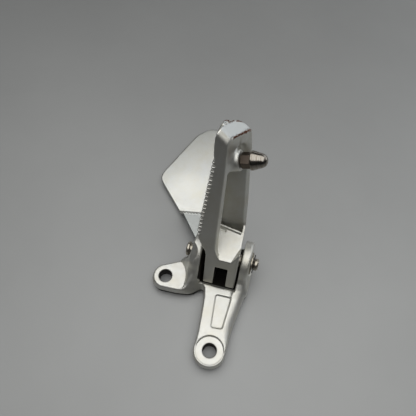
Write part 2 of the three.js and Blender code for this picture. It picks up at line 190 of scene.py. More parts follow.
def make_bracket():
    g = Grid((-44, -71.5, -1.2), (23, 31.5, 31), 0.42 * FINE)
    x, y, z = g.x, g.y, g.z
    # left mounting lug
    lug2 = poly(x, y, fillet_poly(
        arc(LUG_L[0], LUG_L[1], 8.8, 118, 262, 14)
        + [(-23.5, -28.0), (-16.0, -26.8), (-12.6, -25.2), (-10.2, -22.6), (-6.6, -20.5), (-3.0, -14), (-8, 0), (-15.0, 3.0), (-20.5, 3.2), (-22.5, -1.5), (-27.5, -6.4)], 0))
    # parting line at mid height: drafted above, drawn in below
    part = (np.where(z < 4.7, (4.7 - z) * 0.10, (z - 4.7) * 0.17) - 0.3 * np.exp(-((z - 4.9) / 0.45) ** 2)).astype(f32)
    # round the spot face the forging climbs to the ear and falls away to the front
    rho = np.sqrt((x - LUG_L[0]) ** 2 + (y - LUG_L[1]) ** 2)
    fall = 4.9 + 1.43 * (-0.647 * (x + 14.85) + 0.763 * (y + 26.2))
    climb = 9.0 + 1.7 * (rho - 13.9)
    web_top = smin(smin(climb, fall, 5.0), 18.0 + 0 * x, 3.0)
    lug_top = np.where(rho < 13.9, z - 9.7, (z - web_top) * 0.52)
    lug = rounded((lug2 + part) * 0.85, np.maximum(0.0 - z, lug_top), f32(0.8))
    # arm to the lower lug
    top = 10.3 - 1.15 * sstep(-52.5, -60.5, y)
    arm2 = poly(x, y, fillet_poly(
        [(-11, -12), (-11.0, -18.0), (-8.6, -19.4), (-6.6, -22.0), (-5.2, -28), (-4.2, -38), (-3.1, -50)]
        + arc(LUG_B[0], LUG_B[1], 10.3, 172, 366, 26)
        + [(24, -46), (24, -12)], 0))
    arm = rounded(arm2 + (np.where(z < 4.4, (4.4 - z) * 0.12, (z - 4.4) * 0.10) - 0.2 * np.exp(-((z - 4.6) / 0.45) ** 2)).astype(f32), np.maximum(0.0 - z, z - top), f32(1.1))
    xr = np.interp(y.ravel(), [-75, -58, -50, -38, -26, -12, 0, 30], [17.5, 17.3, 17.0, 18.2, 19.6, 20.3, 21.0, 21.2]).astype(f32).reshape(y.shape)
    kk = 1.6 + 6.2 * sstep(-58.0, -40.0, y)
    arm = smax(arm, x - xr + 0 * z, kk)
    # floor between the ears and rear pad
    floor = rounded(poly(x, y, fillet_poly([(-19.0, -18.4), (20.8, -18.4), (20.8, 9.5), (15.5, 15.0), (-19.0, 15.0)], [0, 0, 3.5, 3, 0])), slab(z, 0.0, 9.0), f32(1.0))
    pad = rounded(poly(x, y, fillet_poly([(-21.4, 11.2), (-19.4, 2.0), (-10.2, 1.5), (-10.2, 26.5), (-12.5, 29.0), (-20.5, 29.0), (-23.6, 26.5), (-23.6, 16.0)], [1, 1, 0, 2, 1.5, 2, 2, 3])), slab(z, 0.0, 9.0), f32(0.9))
    # ears
    def ear2(front, r=12.5, cy=0.0):
        return poly(y, z, arc(cy, PIN_Z, r, 0, 172, 34) + front + [(cy + r + 0.9, 0.2), (cy + r + 0.6, 10)])
    le2 = ear2([(-12.5, 17.4), (-14.3, 13.6), (-17.2, 10.9), (-18.4, 9.0), (-18.2, 0.3)])
    re2 = ear2([(-13.2, 17.4), (-15.2, 14.4), (-18.8, 12.0), (-24.0, 10.2), (-36, 8.6), (-54, 5.5), (-54, 0.8)], 13.6, 0.4)
    left = rounded(le2, slab(x, -19.2, -12.2), f32(1.5))
    k2 = 2.4 + 7.0 * sstep(-10.0, -24.0, y)
    right = smax(smax(re2, 13.55 - x, 0.9), x - np.minimum(19.5, xr - 0.3), k2)
    boss = rounded(cyl(y, z, 0, PIN_Z, 7.8), slab(x, -16.0, -10.4), f32(0.5))
    # joined, with forging fillets
    body = smin(lug, arm, 2.2)
    body = smin(body, floor, 1.2)
    body = smin(body, pad, 1.6)
    body = smin(body, left, 6.0 - 3.5 * sstep(-4.0, 6.0, y))
    body = smin(body, right, 2.0 + 4.0 * sstep(-30.0, -14.0, y) - 3.0 * sstep(-6.0, 6.0, y))
    body = smin(body, boss, 1.0)
    body = smax(body, 0.0 - z, 0.8)
    # machined room for the peg root
    room = poly(y, z, [(-21.5, 14.2), (-18.35, 8.95), (-8.7, 5.3), (-4.2, 3.4), (33, 3.4), (33, 60), (-21.5, 60)])
    room = np.maximum(room, slab(x, -10.4, 13.55))
    body = cut(body, room, 0.9)
    # seat for the heel guard tab
    seat = np.maximum(poly(x, y, [(-19.3, 1.5), (-24.5, 5), (-40, 30), (-10, 36), (-10, 12.7), (-19.3, 12.7)]), 9.0 - z)
    body = cut(body, seat, 0.8)
    # bores, spot faces, bolt holes
    body = cut(body, cyl(y, z, 0, PIN_Z, 4.15) + 0 * x, 0.7)
    body = cut(body, np.maximum(cyl(y, z, 0, PIN_Z, 6.4), x + 19.2), 0.7)
    body = cut(body, np.maximum(cyl(y, z, 0, PIN_Z, 8.2), 19.45 - x), 0.7)
    body = cut(body, np.maximum(cyl(x, y, *LUG_L, 13.9), 9.0 - z), 1.3)
    body = cut(body, np.maximum(cyl(x, y, *LUG_B, 8.75), 8.6 - z), 0.7)
    for c in (LUG_L, LUG_B):
        body = cut(body, cyl(x, y, *c, 4.25) + 0 * z, 0.7)
        for s in (z - (9.0 if c is LUG_L else 8.6), -z):
            body = cut(body, (np.sqrt((x - c[0]) ** 2 + (y - c[1]) ** 2) - 4.25 - 0.45 - s) * 0.7071, 0.25)
    for c in SCREWS:
        body = cut(body, np.maximum(cyl(x, y, *c, 2.4), 1.4 - z), 0.5)
    # recessed panel on the arm
    pan = poly(x, y, fillet_poly([(2.2, -24.2), (12.5, -23.8), (11.6, -45.0), (4.3, -45.7)], [1.6, 1.6, 1.8, 1.8]))
    body = cut(body, smax(pan, 9.05 - z, 1.0), 0.8)
    return mesh_of("forged_bracket", g, body)


# ---------------------------------------------------------------- foot peg (local x, n, a)
FEELER_AT = np.array([2.5, -1.5, 78.8])
FEELER_DIR = np.array([0.958, -0.081, 0.271]); FEELER_DIR = FEELER_DIR / np.linalg.norm(FEELER_DIR)
NF = -14.2


def make_peg():
    g = Grid((-17.2, -15.4, -14.2), (15.0, 12.2, 103.6), 0.41 * FINE)
    x, n, a = g.x, g.y, g.z
    teeth = []
    a0, a1, x0, x1, count = 29.0, 82.0, -15.75, -11.2, 18
    pitch = (a1 - a0) / count
    for i in range(count):
        s = a0 + i * pitch
        tip = lambda t: x0 + (x1 - x0) * (t - a0) / (a1 - a0)
        teeth += [(tip(s) + 2.25, s + 0.05), (tip(s + pitch) - 0.25, s + pitch * 0.80), (tip(s + pitch) - 0.05, s + pitch * 0.99)]
    side = [(-8.6, -13.4), (-8.6, 2), (-8.7, 12.4), (-9.5, 15.6), (-11.6, 19.0), (-14.4, 25.2), (-15.55, 28.6)] + teeth + [
        (-9.9, 82.25), (-10.4, 83.6), (-11.0, 86.5), (-11.35, 92), (-11.25, 97.0), (-10.7, 99.6), (-9.0, 102.4), (-6.5, 104.5), (12.8, 104.5), (12.8, -13.4)]
    body = rounded(poly(x, a, side), slab(n, NF, 13.0), f32(0.6))
    # oblique outer end; its front edge rolls over in a broad radius, the other edges stay sharp
    end = (a - (101.35 - 0.78 * (x + 9.8) + 0.10 * (n - NF))) * 0.785
    body = smax(body, smax(end, (NF - n) + 0 * x, 5.5), 0.7)
    # rear face taper and swept rear corner of the tread
    rear_n = 11.0 - 1.5 * sstep(24, 110, a)
    t = np.clip((a - 60.0) / 40.0, 0, 1)
    px, pn = -13.8 + 6.0 * t, 9.3 - 9.4 * t
    ang = np.radians(52.0 + 3.0 * t)
    sweep = smax(n - rear_n, -(x - px) * np.sin(ang) + (n - pn) * np.cos(ang), 5.0)
    body = smax(body, sweep, 0.9)
    # flank of the root draws in rearwards
    body = smax(body, (x - (12.8 - 0.071 * (n - NF))), 1.6)
    # round root end, flat stop face at the front
    rr = np.sqrt(n ** 2 + a ** 2) - 12.9
    endcut = np.where(n > -5, np.where(a < 0, rr, n - 12.9), -12.9 - a)
    body = smax(body, endcut + 0 * x, 0.9)
    # underside plane, from the front rim to the higher rear rim, stopped by the ramp
    ff = np.interp(a.ravel(), [5, 16, 20, 30, 60, 75, 85, 97, 104], [-3.3, -3.3, -3.7, -4.0, -3.9, -3.9, -4.1, -4.4, -4.6])
    rb = np.interp(a.ravel(), [5, 22, 32, 66, 82, 86, 91.6, 94, 104], [11.4, 11.2, 10.1, 7.4, 6.2, 5.6, 4.7, 4.1, 2.6])
    ff, rb = (v.astype(f32).reshape(a.shape) for v in (ff, rb))
    under = (x - (ff + (rb - ff) * (n - NF) / 23.8)) * 0.9
    ramp_a = 10.5 + (n - NF) * 0.63
    ramp = (a - ramp_a) * 0.846
    # corner webs beside the ramp
    wr = (a - ramp_a) * 0.45 - (x - (7.7 + 0.45 * (n - NF))) * 0.89
    wl = (a - ramp_a) * 0.50 + (x - (0.2 - 0.42 * (n - NF))) * 0.865
    above = np.minimum(ramp, np.minimum(wr, wl))
    body = smax(body, smin(under, above - 0.7, 0.5), 0.6)
    # feeler boss: a cone rising out of the underside, spot-faced square to the feeler
    px_, pn_, pa_ = x - f32(FEELER_AT[0]), n - f32(FEELER_AT[1]), a - f32(FEELER_AT[2])
    h = px_ * FEELER_DIR[0] + pn_ * FEELER_DIR[1] + pa_ * FEELER_DIR[2]
    rad = np.sqrt(np.maximum(px_ ** 2 + pn_ ** 2 + pa_ ** 2 - h * h, 0))
    body = cut(body, smax(rad - 9.2, -2.2 - h, 2.5), 1.6)
    # scooped between the boss and the outer end, ahead of a crease
    scoop = smax(0.86 * (x + 1.7 - 0.30 * (n + 8.0) - 0.05 * (a - 90.0)) * -1.0, n + 1.6, 0.4)
    scoop = smax(scoop, 79.0 - a, 5.0)
    body = cut(body, smax(scoop, 6.2 - rad, 2.5), 0.5)
    boss = smax((rad - (6.15 - 0.10 * h)) * 0.99, h, 0.9)
    boss = smax(boss, -7.0 - h, 1.0)
    body = smin(body, boss, 2.2)
    # channel between the walls, ending in the ramp with its raised lip and the slot behind it
    floor_x = -8.7 + 1.5 * sstep(20, 74, a)
    rear_in = 7.8 - 1.7 * sstep(20, 74, a)
    chan = smax(floor_x - x, smax((NF + 3.3) - n, n - rear_in, 1.2), 2.8)
    top_a = 75.4 - 0.28 * (n - NF - 3.3)
    chan = smax(chan, (a - top_a) + 0 * x, 1.8)
    open_ = smax(-chan, smin(under - 0.55, 40.0 - a, 1.0), 0.5)
    body = smax(body, smin(open_, above, 0.5), 0.5)
    sn = n + 0.14 * x - 4.13
    lip = smax(smax(np.abs(sn) - 0.62, (a - ramp_a - 1.15) * 0.846, 0.4), x - 9.6, 0.4)
    lip = np.maximum(lip, 8.0 - a)
    body = smin(body, smax(lip, floor_x - 0.3 - x, 0.2), 0.4)
    groove = np.maximum(np.maximum(np.abs(sn + 1.45) - 0.6, np.abs(a - ramp_a - 0.2) - 0.9), x + 0.4)
    deep = smax(smax(0.65 - sn, n - rear_in, 0.6), 12.5 - a, 1.0)
    deep = smax(smax(smax(deep, floor_x - x, 1.5), a - top_a, 1.8), x - 9.6, 0.6)
    body = cut(body, deep, 0.4)
    body = cut(body, groove + 0 * x, 0.4)
    body = cut(body, np.maximum(rad - 3.2, np.abs(h + 2.0) - 3.8), 0.4)
    # spring notch and pin bore
    notch = smax(slab(x, -1.9, 6.5), a - 3.5, 0.7)
    body = cut(body, notch, 0.5)
    body = cut(body, np.maximum(np.sqrt(n ** 2 + a ** 2) - 8.2, slab(x, -1.9, 6.5)), 0.5)
    body = cut(body, np.sqrt(n ** 2 + a ** 2) - 4.3 + 0 * x, 0.5)
    # knocks and scrapes along the outer end's edges
    rng = np.random.RandomState(7)

    def knock(cx, cn, ca, r):
        nonlocal body
        sl = tuple(slice(max(0, int((c - 2.5 * r - l) / g.vox)), int((c + 2.5 * r - l) / g.vox) + 2) for c, l in zip((cx, cn, ca), g.lo))
        xs, ns, as_ = x[sl[0]], n[:, sl[1]], a[:, :, sl[2]]
        d = np.sqrt(((xs - cx) * 0.85) ** 2 + ((ns - cn) * 0.7) ** 2 + (as_ - ca) ** 2) - r
        body[sl] = cut(body[sl], d, 0.35)

    body = np.array(np.broadcast_to(body, (x.size, n.size, a.size)), dtype=f32)
    for _ in range(46):
        s = rng.rand()
        cx, cn = -4.4 + s * 8.2, NF + 0.6 + s * 23.2
        ca = 101.35 - 0.78 * (cx + 9.8) + 0.10 * (cn - NF)
        knock(cx + 0.25 + rng.randn() * 0.12, cn, ca + 0.1 + rng.randn() * 0.12, 0.28 + 0.42 * rng.rand() ** 2)
    for _ in range(16):
        s = rng.rand()
        cx, cn = -9.0 + s * 3.4, -8.0 + s * 9.6
        ca = 101.35 - 0.78 * (cx + 9.8) + 0.10 * (cn - NF)
        knock(cx - 0.4, cn + 0.3, ca + 0.1, 0.3 + 0.35 * rng.rand() ** 2)
    return mesh_of("forged_peg", g, body, PEG_ROT, PEG_AT)


# ---------------------------------------------------------------- heel guard
def make_guard():
    g = Grid((-64.5, 6.0, 0.6), (-8.8, 115.0, 13.5), 0.36 * FINE)
    x, y, z = g.x, g.y, g.z
    outline = fillet_poly([
        (-19.6, 8.3), (-35.6, 27.6), (-39.6, 31.8), (-63.6, 57.4), (-54.6, 81.2), (-46.0, 103.6), (-37.0, 113.0), (-23.4, 113.0), (-21.4, 104),
        (-14.6, 60), (-10.7, 36), (-10.7, 18), (-12, 15.4), (-15, 14.4), (-19.6, 12.9)],
        [0.3, 3, 3, 10.5, 30, 14, 10, 5, 20, 20, 6, 1.5, 2, 1, 0.3], 10)
    d2 = poly(x, y, outline)
    t = math.radians(9.5)
    v = -math.sin(t) * (x + 24.0) + math.cos(t) * (y - 32.2)
    s = np.clip((v + 2.3) / 4.6, 0, 1)
    s = s * s * s * (s * (s * 6 - 15) + 10) * 0.6 + 0.4 * s
    mid = 10.3 - 6.3 * s
    # the blade is slightly dished along its length and curls at the far edge
    w = np.maximum(v - 8.0, 0)
    u = math.cos(t) * (x + 40.0) + math.sin(t) * (y - 60.0)
    mid = mid + 0.0000 * w + 0.9 * np.exp(-(u / 14.0) ** 2) * sstep(4, 30, w) * 0.6 - 0.0
    slope = np.where((v > -2.3) & (v < 2.3), 0.62, 1.0).astype(f32)
    dz = np.abs(z - mid) * slope - 1.0
    plate = rounded(d2, dz, f32(0.85))
    ear = np.maximum(slab(x, -19.75, -9), y - 12.9)
    plate = cut(plate, ear + 0 * z, 0.5)
    for c in SCREWS:
        plate = cut(plate, cyl(x, y, *c, 2.75) + 0 * z, 0.5)
    return mesh_of("heel_plate", g, plate)


# ---------------------------------------------------------------- turned and small pieces
def basis(direction):
    d = np.array(direction, float)
    d /= np.linalg.norm(d)
    t = np.array([0, 0, 1.0]) if abs(d[2]) < 0.9 else np.array([1.0, 0, 0])
    e = np.cross(t, d); e /= np.linalg.norm(e)
    return np.stack([e, np.cross(d, e), d], 1)  # columns: local x, y, z(axis)


def make_feeler():
    g = Grid((-6.4, -6.4, -5.6), (6.4, 6.4, 15.6), 0.16 * FINE)
    x, y, z = g.x, g.y, g.z
    r = np.sqrt(x * x + y * y)
    hexd = np.full((1, 1, 1), -1e3, f32)
    for k in range(3):
        c, s = math.cos(math.radians(60 * k + 24)), math.sin(math.radians(60 * k + 24))
        hexd = np.maximum(hexd, np.abs(x * c + y * s) - 4.0)
    base = smax(hexd, slab(z, 0.3, 6.3), 0.25)
    base = smax(base, (r - 0.55 * (z - 0.3)) * 0.87 - 3.95, 0.25)
    prof = np.interp(z.ravel(), [5.4, 6.0, 6.6, 7.4, 8.6, 10.4, 10.9, 11.4], [4.9, 5.45, 5.5, 5.32, 4.95, 4.35, 4.2, 4.14]).astype(f32).reshape(z.shape)
    cone = smax((r - prof) * 0.97, slab(z, 5.85, 11.2), 0.3)
    dome = np.maximum(np.sqrt(r ** 2 + (z - 10.75) ** 2) - 4.15, 10.2 - z)
    nose = smin(cone, dome, 0.35)
    stem = np.maximum(r - (2.75 + 0.08 * np.cos(z * 6.2832 / 1.25)), slab(z, -5.3, 1.0))
    body = smin(smin(base, nose, 0.3), stem, 0.2)
    R = PEG_ROT @ basis(FEELER_DIR)
    return mesh_of("polished_feeler", g, body, R, PEG_ROT @ FEELER_AT + PEG_AT)


def lathe(name, profile, at, direction, seg=96, bevel=0.0):
    """Closed or on-axis profile [(radius, along)] turned about direction through at (pin frame, mm)."""
    B = basis(direction)
    bm = bmesh.new()
    rings = []
    for r, s in profile:
        if r < 1e-6:
            rings.append([bm.verts.new((B @ np.array([0, 0, s]) + at + OFF) / 1000.0)])
        else:
            rings.append([bm.verts.new((B @ np.array([r * math.cos(2 * math.pi * i / seg), r * math.sin(2 * math.pi * i / seg), s]) + at + OFF) / 1000.0) for i in range(seg)])
    closed = profile[0][0] > 1e-6
    pairs = list(zip(rings, rings[1:])) + ([(rings[-1], rings[0])] if closed else [])
    for r0, r1 in pairs:
        for i in range(seg):
            j = (i + 1) % seg
            if len(r0) == 1 and len(r1) == 1:
                continue
            if len(r0) == 1:
                bm.faces.new((r0[0], r1[i], r1[j]))
            elif len(r1) == 1:
                bm.faces.new((r0[i], r0[j], r1[0]))
            else:
                bm.faces.new((r0[i], r0[j], r1[j], r1[i]))
    bmesh.ops.recalc_face_normals(bm, faces=bm.faces)
    me = bpy.data.meshes.new(name)
    bm.to_mesh(me)
    bm.free()
    ob = bpy.data.objects.new(name, me)
    bpy.context.scene.collection.objects.link(ob)
    me.shade_smooth()
    me.set_sharp_from_angle(angle=math.radians(38))
    return ob


def soften(profile, r, seg=4):
    """Rounds the corners of an open turned profile."""
    out = [profile[0]]
    for i in range(1, len(profile) - 1):
        p0, p, p1 = (np.array(profile[i + k], float) for k in (-1, 0, 1))
        u, v = p0 - p, p1 - p
        lu, lv = np.linalg.norm(u), np.linalg.norm(v)
        t = min(r, 0.45 * lu, 0.45 * lv)
        a, b = p + u / lu * t, p + v / lv * t
        for k in range(seg + 1):
            s = k / seg
            out.append(tuple((1 - s) ** 2 * a + 2 * s * (1 - s) * p + s * s * b))
    out.append(profile[-1])
    return out


def soften_ring(profile, r, seg=4):
    n = len(profile)
    p = [profile[-1]] + list(profile) + [profile[0]]
    return soften(p, r, seg)[1:-1]


def make_pin():
    prof = [(0, -24.1), (3.4, -24.1), (4.85, -23.3), (4.85, -21.9), (3.75, -21.6), (3.75, -19.6), (4.0, -19.4), (4.0, 20.9), (3.1, 20.9), (3.1, 22.0), (4.0, 22.0), (4.0, 23.7), (3.2, 24.6), (0, 24.75)]
    return lathe("clevis_pin", soften(prof, 0.32), PEG_AT, (1, 0, 0))


def make_washer(name, ri, ro, lo, hi):
    prof = [(ri, lo), (ro, lo), (ro, hi), (ri, hi)]
    return lathe(name, soften_ring(prof, min(0.28, (hi - lo) * 0.35)), PEG_AT, (1, 0, 0))


def make_clip():
    g = Grid((20.9, -7.0, PIN_Z - 7.0), (22.1, 7.0, PIN_Z + 7.0), 0.1 * FINE)
    x, y, z = g.x, g.y, g.z - f32(PIN_Z)
    r = np.sqrt(y * y + z * z)
    th = np.arctan2(z, y)
    ring = np.maximum(r - 6.15, 4.45 - r)
    prong = np.full((1, y.shape[1], z.shape[2]), 1e3, f32)
    for deg in (-48, 90, 228):
        c, s = math.cos(math.radians(deg)), math.sin(math.radians(deg))
        along, side = y * c + z * s, -y * s + z * c
        prong = np.minimum(prong, np.maximum(np.maximum(np.abs(side) - 1.25, 3.3 - along), along - 5.2))
    shape = smin(ring, prong, 0.7)
    mouth = np.abs(y) + (z * 0.55) - 1.4
    shape = smax(shape, -np.maximum(mouth, z + 2.0), 0.5)
    body = rounded(shape, slab(x, 21.15, 21.78), f32(0.1))
    return mesh_of("e_clip", g, body)


def make_spring():
    """Torsion spring: 2 mm pitch close coils about the pin, one leg on the bracket floor."""
    wire, R, x0, px, turns = 0.9, 5.9, -0.55, 1.95, 3
    pts = [(x0, 8.6, PIN_Z - 12.2), (x0, 6.7, PIN_Z - 10.2), (x0, 5.1, PIN_Z - 8.3)]
    start, total = -52.0, turns * 360 + 70
    for i in range(121):
        d = math.radians(start - total * i / 120)
        pts.append((x0 + px * (total / 360) * 0.92 * i / 120, R * math.cos(d), PIN_Z + R * math.sin(d)))
    cu = bpy.data.curves.new("coil_spring", "CURVE")
    cu.dimensions = "3D"
    cu.bevel_depth = wire / 1000.0
    cu.bevel_resolution = 5
    cu.use_fill_caps = True
    sp = cu.splines.new("POLY")
    sp.points.add(len(pts) - 1)
    for q, p in zip(sp.points, pts):
        q.co = (*((np.array(p) + OFF) / 1000.0), 1)
    tmp = bpy.data.objects.new("coil_tmp", cu)
    bpy.context.scene.collection.objects.link(tmp)
    me = bpy.data.meshes.new_from_object(tmp)
    me.name = "coil_spring"
    bpy.data.objects.remove(tmp)
    ob = bpy.data.objects.new("coil_spring", me)
    bpy.context.scene.collection.objects.link(ob)
    me.shade_smooth()
    return ob


def make_screw(name, c):
    g = Grid((-4.6, -4.6, 1.6), (4.6, 4.6, 14.6), 0.15 * FINE)
    x, y, z = g.x, g.y, g.z
    r = np.sqrt(x * x + y * y)
    top = 11.6
    head = np.maximum(np.sqrt(r ** 2 + ((z - (top - 2.9)) * 0.92) ** 2) - 4.75, top - z)
    head = smax(head, r - 3.98, 0.5)
    head = smax(head, z - (top + 2.25), 0.4)
    hexd = np.full((1, 1, 1), -1e3, f32)
    for k in range(3):
        q, s = math.cos(math.radians(60 * k + 20)), math.sin(math.radians(60 * k + 20))
        hexd = np.maximum(hexd, np.abs(x * q + y * s) - 1.5)
    head = cut(head, np.maximum(hexd, top + 0.9 - z), 0.25)
    shank = np.maximum(r - (2.05 + 0.12 * np.cos(z * 7.85)), slab(z, 2.0, top + 0.3))
    body = smin(head, shank, 0.3)
    return mesh_of(name, g, body, None, (c[0], c[1], 0))


# ---------------------------------------------------------------- materials
def new_mat(name):
    m = bpy.data.materials.new(name)
    m.use_nodes = True
    nt = m.node_tree
    nt.nodes.clear()
    out = nt.nodes.new("ShaderNodeOutputMaterial")
    b = nt.nodes.new("ShaderNodeBsdfPrincipled")
    nt.links.new(b.outputs[0], out.inputs[0])
    return m, nt, b


def N(nt, kind, **kw):
    n = nt.nodes.new(kind)
    for k, v in kw.items():
        setattr(n, k, v)
    return n


def noise(nt, scale, detail=4.0, rough=0.55, vec=None):
    n = N(nt, "ShaderNodeTexNoise")
    n.inputs["Scale"].default_value = scale
    n.inputs["Detail"].default_value = detail
    n.inputs["Roughness"].default_value = rough
    if vec is not None:
        nt.links.new(vec, n.inputs["Vector"])
    return n.outputs["Fac"]


def mapr(nt, src, a, b, c, d, clamp=True):
    n = N(nt, "ShaderNodeMapRange")
    n.clamp = clamp
    for i, v in zip(("From Min", "From Max", "To Min", "To Max"), (a, b, c, d)):
        n.inputs[i].default_value = v
    nt.links.new(src, n.inputs["Value"])
    return n.outputs["Result"]


def mixc(nt, fac, a, b):
    n = N(nt, "ShaderNodeMix", data_type="RGBA")
    for sock, v in ((n.inputs[6], a), (n.inputs[7], b)):
        if isinstance(v, tuple):
            sock.default_value = (*v, 1)
        else:
            nt.links.new(v, sock)
    nt.links.new(fac, n.inputs[0])
    return n.outputs[2]


def math_(nt, op, a, b):
    n = N(nt, "ShaderNodeMath", operation=op)
    for sock, v in zip(n.inputs, (a, b)):
        if isinstance(v, (int, float)):
            sock.default_value = v
        else:
            nt.links.new(v, sock)
    return n.outputs[0]


def coords(nt, scale=(1, 1, 1)):
    tc = N(nt, "ShaderNodeTexCoord")
    mp = N(nt, "ShaderNodeMapping")
    mp.inputs["Scale"].default_value = scale
    nt.links.new(tc.outputs["Object"], mp.inputs["Vector"])
    return mp.outputs["Vector"]


def bump(nt, b, height, strength, dist):
    n = N(nt, "ShaderNodeBump")
    n.inputs["Strength"].default_value = strength
    n.inputs["Distance"].default_value = dist
    nt.links.new(height, n.inputs["Height"])
    nt.links.new(n.outputs[0], b.inputs["Normal"])


def metal(name, base, rough, grain=4200.0, grain_amt=0.35, mottle=0.10, wear=0.25, metallic=1.0, stretch=(1, 1, 1), tint=(0.62, 0.60, 0.55)):
    """Blasted or forged metal: fine grain, soft mottling, slightly polished edges."""
    m, nt, b = new_mat(name)
    v = coords(nt, stretch)
    fine = noise(nt, grain, 3.0, 0.6, v)
    big = noise(nt, 95.0, 5.0, 0.6, coords(nt))
    mid = noise(nt, 520.0, 4.0, 0.6, coords(nt))
    dark = tuple(c * (1 - mottle) * t / max(tint) for c, t in zip(base, tint))
    col = mixc(nt, mapr(nt, big, 0.35, 0.7, 0.0, 1.0), base, dark)
    col = mixc(nt, mapr(nt, mid, 0.3, 0.75, 0.0, 0.35), col, tuple(min(1, c * 1.08) for c in base))
    geo = N(nt, "ShaderNodeNewGeometry")
    edge = mapr(nt, geo.outputs["Pointiness"], 0.515, 0.58, 0.0, wear)
    col = mixc(nt, edge, col, tuple(min(1, c * 1.18 + 0.03) for c in base))
    nt.links.new(col, b.inputs["Base Color"])
    r = mapr(nt, mid, 0.3, 0.7, rough - 0.05, rough + 0.06)
    r = math_(nt, "SUBTRACT", r, math_(nt, "MULTIPLY", edge, 0.25))
    nt.links.new(r, b.inputs["Roughness"])
    b.inputs["Metallic"].default_value = metallic
    h = math_(nt, "ADD", math_(nt, "MULTIPLY", fine, 0.7), math_(nt, "MULTIPLY", mid, 0.5))
    bump(nt, b, h, grain_amt, 0.00006)
    return m, nt, b, col


def lin(nt, g, c, peg=True):
    """Value of g . local + c (mm) at the shaded point, in the peg's or the pin frame's coordinates."""
    g = np.array(g, float)
    R, at = (PEG_ROT, PEG_AT) if peg else (np.eye(3), np.zeros(3))
    d = N(nt, "ShaderNodeVectorMath", operation="DOT_PRODUCT")
    tc = N(nt, "ShaderNodeTexCoord")
    nt.links.new(tc.outputs["Object"], d.inputs[0])
    d.inputs[1].default_value = tuple(1000.0 * (R @ g))
    return math_(nt, "ADD", d.outputs["Value"], float(c - g @ (R.T @ (OFF + at))))


def within(nt, v, lo, hi, soft=0.25):
    """1 between lo and hi, falling off over soft."""
    a = mapr(nt, v, lo - soft, lo, 0.0, 1.0)
    b = mapr(nt, v, hi, hi + soft, 1.0, 0.0)
    return math_(nt, "MULTIPLY", a, b)


def product(nt, *v):
    out = v[0]
    for w in v[1:]:
        out = math_(nt, "MULTIPLY", out, w)
    return out


def tone(nt, b, mask, colour, rough=None, metallic=None):
    """Lays a colour over the base under a mask."""
    src = b.inputs["Base Color"].links[0].from_socket
    nt.links.new(mixc(nt, mask, src, colour), b.inputs["Base Color"])
    if rough is not None:
        src = b.inputs["Roughness"].links[0].from_socket
        nt.links.new(math_(nt, "ADD", math_(nt, "MULTIPLY", src, math_(nt, "SUBTRACT", 1.0, mask)), math_(nt, "MULTIPLY", mask, rough)), b.inputs["Roughness"])


def assign(ob, m):
    ob.data.materials.clear()
    ob.data.materials.append(m)


# near-black painted shade, laid into the clevis gap and the spring notch where shade falls
PAINTED_SHADE = (0.035, 0.032, 0.028)
CHIP = (0.13, 0.045, 0.022)
cast, nt, b, _ = metal("cast_aluminium", (0.73, 0.73, 0.70), 0.47, 3600.0, 0.6, 0.07, 0.3)
px, py, pz = (lin(nt, g, 0.0, False) for g in ((1, 0, 0), (0, 1, 0), (0, 0, 1)))
# painted shade: the clevis gap between the ears, above the floor, is laid near black
tone(nt, b, product(nt, within(nt, px, -12.15, 13.42, 0.15), within(nt, py, -17.6, 40.0, 0.6), within(nt, pz, 2.0, 40.0)), PAINTED_SHADE, 0.6)
# painted shade: below about 4.4 mm the bracket is laid near black, fully at the left lug, somewhat less towards the arm
underside_shade_mask = mapr(nt, pz, 4.0, 4.7, 1.0, 0.0)
tone(nt, b, math_(nt, "MULTIPLY", underside_shade_mask, mapr(nt, px, -12.0, -8.5, 0.97, 0.72)), (0.02, 0.02, 0.018), 0.7)
# painted shade: the lug bore walls below their top chamfers are laid dark
for c in (LUG_L, LUG_B):
    dx, dy = lin(nt, (1, 0, 0), -c[0], False), lin(nt, (0, 1, 0), -c[1], False)
    rr = math_(nt, "SQRT", math_(nt, "ADD", math_(nt, "MULTIPLY", dx, dx), math_(nt, "MULTIPLY", dy, dy)), 0.0)
    tone(nt, b, product(nt, mapr(nt, rr, 4.35, 4.6, 1.0, 0.0), mapr(nt, pz, 8.0, 8.8, 1.0, 0.0)), (0.06, 0.055, 0.05), 0.6)

pegm, nt, b, _ = metal("forged_aluminium", (0.71, 0.71, 0.68), 0.46, 4200.0, 0.45, 0.10, 0.35)
lx, ln, la = (lin(nt, g, 0.0) for g in ((1, 0, 0), (0, 1, 0), (0, 0, 1)))
# painted shade: the inside of the spring notch is laid near black
tone(nt, b, product(nt, within(nt, lx, -2.2, 6.8, 0.15), mapr(nt, ln, NF + 0.35, NF + 0.7, 0.0, 1.0), mapr(nt, la, 3.7, 4.0, 1.0, 0.0)), PAINTED_SHADE, 0.6)
# painted shade: the peg grows darker towards its round root end inside the clevis
tone(nt, b, math_(nt, "MULTIPLY", mapr(nt, la, -12.6, -4.0, 1.0, 0.0), 0.62), (0.22, 0.215, 0.20))
